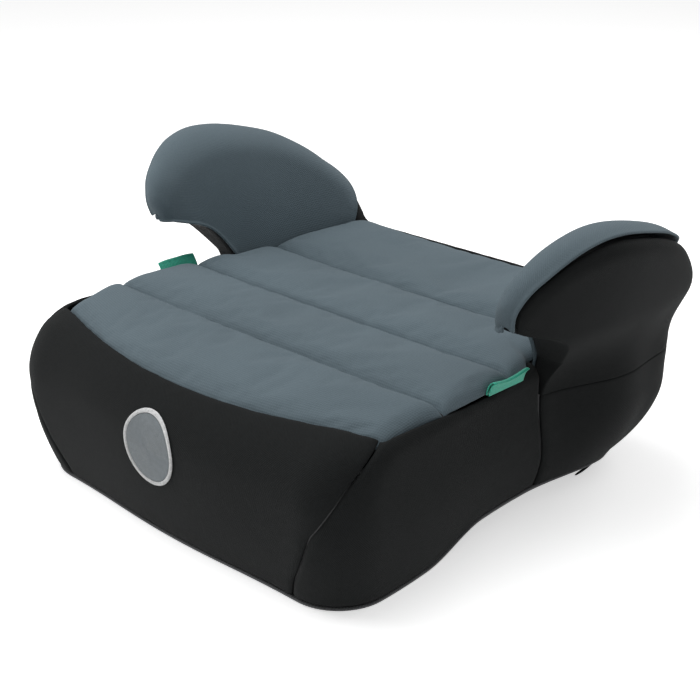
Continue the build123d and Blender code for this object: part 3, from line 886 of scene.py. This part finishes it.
def channel_rows(index, crown, groove):
    """One quilted channel: crowned between its seams and rolled down at its sides."""
    seams = (None, *SEAM_Y, SEAT_REAR[1])
    y_rear = seams[index + 1]
    columns, rows = 96, 34 if index < 3 else 44
    out = []
    for down in spaced(rows, 0.75):
        line = []
        for step in range(columns + 1):
            even = 2.0 * step / columns - 1.0
            across = sin(0.5 * pi * even) * 0.35 + even * 0.65
            if index == 0:
                half = mix(SEAT_CORNER[0], seat_half(y_rear), down)
                x = across * half
                y = mix(seat_front_edge(x), y_rear, down)
                half = max(half, 1.0)
                start_z = VALLEY - NOSE_DROP + 1.5
            else:
                y = mix(seams[index], y_rear, down)
                half = seat_half(y)
                x = across * half
                start_z = VALLEY
            end_z = VALLEY if index < 3 else VALLEY - 1.0
            line_z = mix(start_z, end_z, down if index else ease(down) * 0.55 + down * 0.45)
            length = y_rear - (seams[index] if index else seat_front_edge(x))
            from_seam = min(down, 1.0 - down) * length
            full = crown if index < 3 else crown * 1.15
            if index == 0:
                full *= 1.15
            swell = full * (1.0 - (2.0 * down - 1.0) ** 4) ** 0.75 if 0.0 < down < 1.0 else 0.0
            edge = half - abs(x)
            roll = 14.0
            fall = 0.0
            if edge < roll:
                fall = (swell + 4.0) * (1.0 - sqrt(max(0.0, 1.0 - (1.0 - edge / roll) ** 2)))
            dish = 3.5 * (1.0 - min(abs(x) / half, 1.0) ** 2) * ease((y + 60.0) / 200.0)
            sunk = groove * exp(-(from_seam / 2.2) ** 2)
            pucker = 0.35 * noise.noise(Vector((x * 0.16, y * 0.05, 3.0))) * exp(-from_seam / 9.0)
            soft = 0.7 * noise.noise(Vector((x * 0.018, y * 0.03, 11.0)))
            line.append(Vector((x, y, line_z + swell - fall - dish - sunk + pucker + soft * swell / crown)))
        out.append(line)
    return out


# ---------------------------------------------------------------- armrest panels
def arm_rows(sections, inner_columns, outer_columns, wall_columns):
    """Rows over the armrest: the inner panel's, and the outer panel's with the wall of the slot."""
    inner_rows, outer_rows = [], []
    last = len(RIDGE) - 1
    for share in spaced(sections, 0.1):
        section = arm_section(share * last)
        inner, outer = arm_split(section)
        inner_rows.append(resample(inner, inner_columns, 0.3))
        wall = [outer[-1].lerp(inner[0], step / wall_columns) for step in range(1, wall_columns + 1)]
        outer_rows.append(resample(outer, outer_columns, 0.3) + wall)
    return inner_rows, outer_rows


# ---------------------------------------------------------------- operators
def thread_line(name, path, radius, material, mirror=False):
    """A round dark tube along a path of points: thread, and at the seat's seams also painted shade of the groove.
    """
    rows = []
    for turn in range(7):
        angle = 2.0 * pi * turn / 6.0
        line = []
        for index, p in enumerate(path):
            along = (path[min(index + 1, len(path) - 1)] - path[max(index - 1, 0)]).normalized()
            side = along.cross(Vector((0.0, 0.0, 1.0))).normalized()
            up = side.cross(along)
            line.append(p + side * radius * cos(angle) + up * radius * sin(angle))
        rows.append(line)
    piece = sewn_grid(name, rows, mirror)
    return dress(piece, material)


class SewSeat(bpy.types.Operator):
    """Sew the four quilted channels of the seat and let them swell"""
    bl_idname = "seat_cover.sew_seat"
    bl_label = "Sew the seat"

    def execute(self, context):
        sizes = context.scene.seat_cover_sizes
        names = ("front", "mid_front", "mid_rear", "rear")
        for index, part in enumerate(names):
            rows = outward(channel_rows(index, sizes.crown / MM, sizes.groove / MM))
            piece = sewn_grid(f"seat_channel_{part}", rows)
            width = len(rows[0])
            last = len(rows) - 1
            pinned = [i * width + j for i in range(last + 1) for j in range(width)
                      if i < 2 or i > last - 2 or j < 2 or j > width - 3]
            inflate(piece, pinned, 0.25, sizes.swell)
            thicken(piece, sizes.cloth)
            if index < 3:
                # a dark line at the bottom of each seam groove: the thread, darkened to stand for painted shade in
                # the groove
                seam = [p - Vector((0.0, 0.0, 0.4)) for p in rows[-1]]
                thread_line(f"channel_seam_shade_line_{part}", seam, 0.9, finish_of("seam"))
            nodes = [f"seat_panel_{part}"] + (["seat_foam"] if index == 0 else [])
            dress(piece, finish_of("seat knit"), nodes)
        return {"FINISHED"}


class SewBody(bpy.types.Operator):
    """Sew the front, side and back panels round the shell"""
    bl_idname = "seat_cover.sew_body"
    bl_label = "Sew the body"

    def execute(self, context):
        sizes = context.scene.seat_cover_sizes
        panels = (
            ("front_cover", front_rows(), "front_panel", (False,), "tblr"),
            ("side_cover", side_rows(), "side_panel", (False, True), "tblr"),
            ("rear_cover", rear_rows(), "rear_panel", (False,), "tblr"),
        )
        for name, rows, node, sides, seams in panels:
            rows = outward(sink_edges(outward(rows), sizes.groove / MM * 0.7, 2.0, "tblr", 0.5))
            for mirror in sides:
                label = name if len(sides) == 1 else name + ("_left" if mirror else "_right")
                target = node if len(sides) == 1 else node + ("_left" if mirror else "_right")
                piece = sewn_grid(label, rows, mirror)
                thicken(piece, sizes.cloth)
                dress(piece, finish_of("body cloth"), [target])
        return {"FINISHED"}


class SewArmrests(bpy.types.Operator):
    """Sew the inner and outer panels of both armrests"""
    bl_idname = "seat_cover.sew_armrests"
    bl_label = "Sew the armrests"

    def execute(self, context):
        sizes = context.scene.seat_cover_sizes
        inner_rows, outer_rows = arm_rows(84, 34, 26, 8)
        top = [row for row in outer_rows[0][:-8]]
        top = top[::-1]
        quarter = quarter_rows(top)
        depth = sizes.groove / MM * 0.6
        for mirror in (False, True):
            side = "left" if mirror else "right"
            rows = sink_edges(outward(inner_rows), depth, 2.0, "lr", 0.4)
            piece = sewn_grid(f"armrest_inner_cover_{side}", rows, mirror)
            thicken(piece, sizes.cloth)
            nodes = [f"armrest_inner_panel_{side}", f"armrest_foam_{side}"]
            dress(piece, finish_of("seat knit"), nodes)
            rows = sink_edges(outward(outer_rows), depth, 2.0, "lr", 0.4)
            piece = sewn_grid(f"armrest_outer_cover_{side}", rows, mirror)
            thicken(piece, sizes.cloth)
            dress(piece, finish_of("body cloth"), [f"armrest_outer_panel_{side}"])
            rows = sink_edges(outward(quarter), depth, 2.0, "lr", 0.3)
            piece = sewn_grid(f"rear_quarter_cover_{side}", rows, mirror)
            thicken(piece, sizes.cloth)
            dress(piece, finish_of("body cloth"), ())
        return {"FINISHED"}


class BindHem(bpy.types.Operator):
    """Bind the lower edge of the cover"""
    bl_idname = "seat_cover.bind_hem"
    bl_label = "Bind the hem"

    def execute(self, context):
        path = []
        for share in spaced(150):
            z = HEM_Z
            for _ in range(6):
                outline = ring(z)
                z = HEM_Z + arch_lift(outline.at(share * outline.runs[-1]).y)
            path.append(ring(z).at(share * ring(z).runs[-1]))
        path = path + [Vector((-p.x, p.y, p.z)) for p in reversed(path[1:-1])]
        rows = []
        count = len(path)
        for turn in range(9):
            angle = 2.0 * pi * turn / 8.0
            line = []
            for index, p in enumerate(path):
                along = path[(index + 1) % count] - path[index - 1]
                out = Vector((along.y, -along.x, 0.0)).normalized()
                line.append(p + out * (1.3 * cos(angle) - 0.9) + Vector((0, 0, 1.0 * sin(angle) - 0.2)))
            rows.append(line)
        piece = sewn_grid("hem_binding", rows, loop=True)
        # the binding's light grey tone is partly painted floor-light reflection
        dress(piece, finish_of("binding"), ())
        return {"FINISHED"}


class SewTags(bpy.types.Operator):
    """Sew the two ribbon belt tags into the side seams"""
    bl_idname = "seat_cover.sew_tags"
    bl_label = "Sew the belt tags"

    def execute(self, context):
        low, high = [[value / MM for value in corner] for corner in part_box("belt_tag_right")]
        for mirror in (False, True):
            side = "left" if mirror else "right"
            rows = []
            for turn in spaced(26):
                line = []
                rise = 1.0 - abs(2.0 * turn - 1.0)
                layer = 0.7 if turn > 0.5 else -0.7
                for share in spaced(30):
                    y = mix(low[1], high[1], share)
                    bend = 0.8 * sin(2.6 * pi * share + 0.6) * rise
                    lean = mix(low[0] + 0.6, high[0] - 0.8, rise ** 1.5) + bend + layer * (1.0 - rise ** 6)
                    if mirror:
                        z = mix(low[2], high[2] + 1.5 * sin(pi * share), rise)
                    else:
                        z = mix(low[2], high[2] - 3.0 * sin(pi * share) ** 2, sin(0.5 * pi * rise))
                    line.append(Vector((lean, y, z)))
                rows.append(line)
            piece = sewn_grid(f"belt_tag_loop_{side}", outward(rows), mirror)
            thicken(piece, 0.0009)
            piece.data.materials.append(finish_of("ribbon"))
            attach(piece, BODY)
            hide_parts(f"belt_tag_{side}")
        return {"FINISHED"}


class SewPatch(bpy.types.Operator):
    """Sew the blank oval patch and its satin-stitched border on the front"""
    bl_idname = "seat_cover.sew_patch"
    bl_label = "Sew the patch"

    def execute(self, context):
        low, high = [[value / MM for value in corner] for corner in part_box("patch_border")]
        half, tall = high[0], 0.5 * (high[2] - low[2])
        middle = 0.5 * (high[2] + low[2])

        def on_front(x, z, proud):
            outline = ring(z)
            p = outline.at(outline.where(lambda q: q.x >= abs(x)))
            return Vector((x, p.y - proud, z))

        rows = []
        for out in spaced(16):
            line = []
            for turn in range(72):
                angle = 2.0 * pi * turn / 72.0
                line.append(on_front(out * (half - 3.0) * cos(angle), middle + out * (tall - 3.0) * sin(angle),
                                     0.9 + 0.15 * (1.0 - out)))
            rows.append(line)
        piece = sewn_grid("oval_patch", outward(rows), loop=True)
        thicken(piece, 0.0008)
        dress(piece, finish_of("patch"), ["front_patch"])
        rows = []
        for turn in range(13):
            around = pi * turn / 12.0
            line = []
            for place in range(360):
                angle = 2.0 * pi * place / 360.0
                stitch = 0.12 * sin(place * pi)
                width = 1.5 * cos(around)
                proud = 0.6 + 1.0 * sin(around) + stitch
                line.append(on_front((half - 1.5 + width) * cos(angle), middle + (tall - 1.5 + width) * sin(angle),
                                     proud))
            rows.append(line)
        piece = sewn_grid("patch_satin_border", outward(rows), loop=True)
        dress(piece, finish_of("thread"), ["patch_border"])
        return {"FINISHED"}


class FinishShell(bpy.types.Operator):
    """Give the moulded shell, armrests, screws and hooks their finishes"""
    bl_idname = "seat_cover.finish_shell"
    bl_label = "Finish the shell"

    def execute(self, context):
        # cover_hem takes the binding finish, whose light grey is partly painted floor-light reflection
        finishes = {
            "base_shell": "plastic", "armrest_right": "plastic", "armrest_left": "plastic",
            "armrest_screws": "zinc", "hem_hooks": "hook", "cover_hem": "binding",
        }
        for node, name in finishes.items():
            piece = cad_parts[node]
            for material_slot in piece.material_slots:
                material_slot.material = finish_of(name)
        return {"FINISHED"}


class SetStage(bpy.types.Operator):
    """Lay the floor, hang the softboxes and place the camera"""
    bl_idname = "seat_cover.set_stage"
    bl_label = "Set the stage"

    def execute(self, context):
        scene = context.scene
        stage = scene.seat_cover_stage
        scene.view_settings.view_transform = "Standard"
        aim = Vector((0.0, 0.0062, 0.0908))
        back = Vector((sin(stage.azimuth) * cos(stage.elevation), -cos(stage.azimuth) * cos(stage.elevation),
                       sin(stage.elevation)))
        camera = bpy.data.objects.new("Camera", bpy.data.cameras.new("Camera"))
        scene.collection.objects.link(camera)
        camera.data.lens = stage.lens
        camera.data.sensor_width = 36.0
        camera.location = aim + back * stage.distance
        camera.rotation_euler = back.to_track_quat("Z", "Y").to_euler()
        scene.camera = camera

        mesh = bpy.data.meshes.new("floor")
        reach = 3.0
        mesh.from_pydata([(-reach, -reach, 0), (reach, -reach, 0), (reach, reach, 0), (-reach, reach, 0)], [],
                         [(0, 1, 2, 3)])
        floor = add_object("floor", mesh)
        pale = Shader("Pale floor", (0.93, 0.93, 0.93), 0.9)
        tree = pale.tree
        glow = pale.node("ShaderNodeEmission")
        glow.inputs["Color"].default_value = (1.0, 1.0, 1.0, 1.0)
        glow.inputs["Strength"].default_value = 0.55
        joined = pale.node("ShaderNodeAddShader")
        path = pale.node("ShaderNodeLightPath")
        dark = pale.node("ShaderNodeEmission")
        dark.inputs["Strength"].default_value = 0.0
        choose = pale.node("ShaderNodeMixShader")
        seen = pale.maths("MAXIMUM", path.outputs["Is Camera Ray"], path.outputs["Is Glossy Ray"])
        pale.link(seen, choose.inputs[0])
        pale.link(dark.outputs[0], choose.inputs[1])
        pale.link(glow.outputs[0], choose.inputs[2])
        pale.link(pale.surface.outputs[0], joined.inputs[0])
        pale.link(choose.outputs[0], joined.inputs[1])
        result = [n for n in tree.nodes if n.type == "OUTPUT_MATERIAL"][0]
        pale.link(joined.outputs[0], result.inputs["Surface"])
        floor.data.materials.append(pale.material)

        world = bpy.data.worlds.new("Soft room")
        scene.world = world
        world.use_nodes = True
        nodes, links = world.node_tree.nodes, world.node_tree.links
        nodes.clear()
        soft = nodes.new("ShaderNodeBackground")
        soft.inputs["Color"].default_value = (1.0, 1.0, 1.0, 1.0)
        soft.inputs["Strength"].default_value = 0.36
        white = nodes.new("ShaderNodeBackground")
        white.inputs["Color"].default_value = (1.0, 1.0, 1.0, 1.0)
        white.inputs["Strength"].default_value = 1.0
        ray = nodes.new("ShaderNodeLightPath")
        blend = nodes.new("ShaderNodeMixShader")
        out = nodes.new("ShaderNodeOutputWorld")
        links.new(ray.outputs["Is Camera Ray"], blend.inputs[0])
        links.new(soft.outputs[0], blend.inputs[1])
        links.new(white.outputs[0], blend.inputs[2])
        links.new(blend.outputs[0], out.inputs["Surface"])

        for name, place, size, power in (
                ("overhead", (-0.35, -0.2, 1.5), 1.3, stage.key),
                ("left", (-1.4, -0.9, 0.8), 0.9, 0.5 * stage.key),
                ("behind", (0.3, 1.5, 1.1), 0.9, 0.45 * stage.key)):
            lamp = bpy.data.objects.new(name, bpy.data.lights.new(name, "AREA"))
            scene.collection.objects.link(lamp)
            lamp.data.size = size
            lamp.data.energy = power
            lamp.location = place
            lamp.rotation_euler = (Vector(place) - aim).to_track_quat("Z", "Y").to_euler()
        return {"FINISHED"}


class SeatCoverPanel(bpy.types.Panel):
    """Sizes, colours and steps of the seat cover"""
    bl_idname = "VIEW3D_PT_seat_cover"
    bl_label = "Booster seat"
    bl_space_type = "VIEW_3D"
    bl_region_type = "UI"
    bl_category = "Booster seat"

    def draw(self, context):
        layout = self.layout
        scene = context.scene
        for group in (scene.seat_cover_sizes, scene.seat_cover_colours, scene.seat_cover_stage):
            box = layout.box()
            for name in group.__annotations__:
                box.prop(group, name)
        for step in STEPS:
            layout.operator(step.bl_idname)


GROUPS = {
    "seat_cover_sizes": SeatCoverSizes,
    "seat_cover_colours": SeatCoverColours,
    "seat_cover_stage": SeatCoverStage,
}
STEPS = (SetStage, SewSeat, SewBody, SewArmrests, BindHem, SewTags, SewPatch, FinishShell)


def register():
    for name, group in GROUPS.items():
        bpy.utils.register_class(group)
        setattr(bpy.types.Scene, name, bpy.props.PointerProperty(type=group))
    for made in (*STEPS, SeatCoverPanel):
        bpy.utils.register_class(made)


def unregister():
    for made in (SeatCoverPanel, *reversed(STEPS)):
        bpy.utils.unregister_class(made)
    for name, group in reversed(list(GROUPS.items())):
        delattr(bpy.types.Scene, name)
        bpy.utils.unregister_class(group)


def main():
    """Builds the cover over the frame."""
    register()
    for step in STEPS:
        area, name = step.bl_idname.split(".")
        getattr(getattr(bpy.ops, area), name)()


if __name__ == "__main__":
    main()
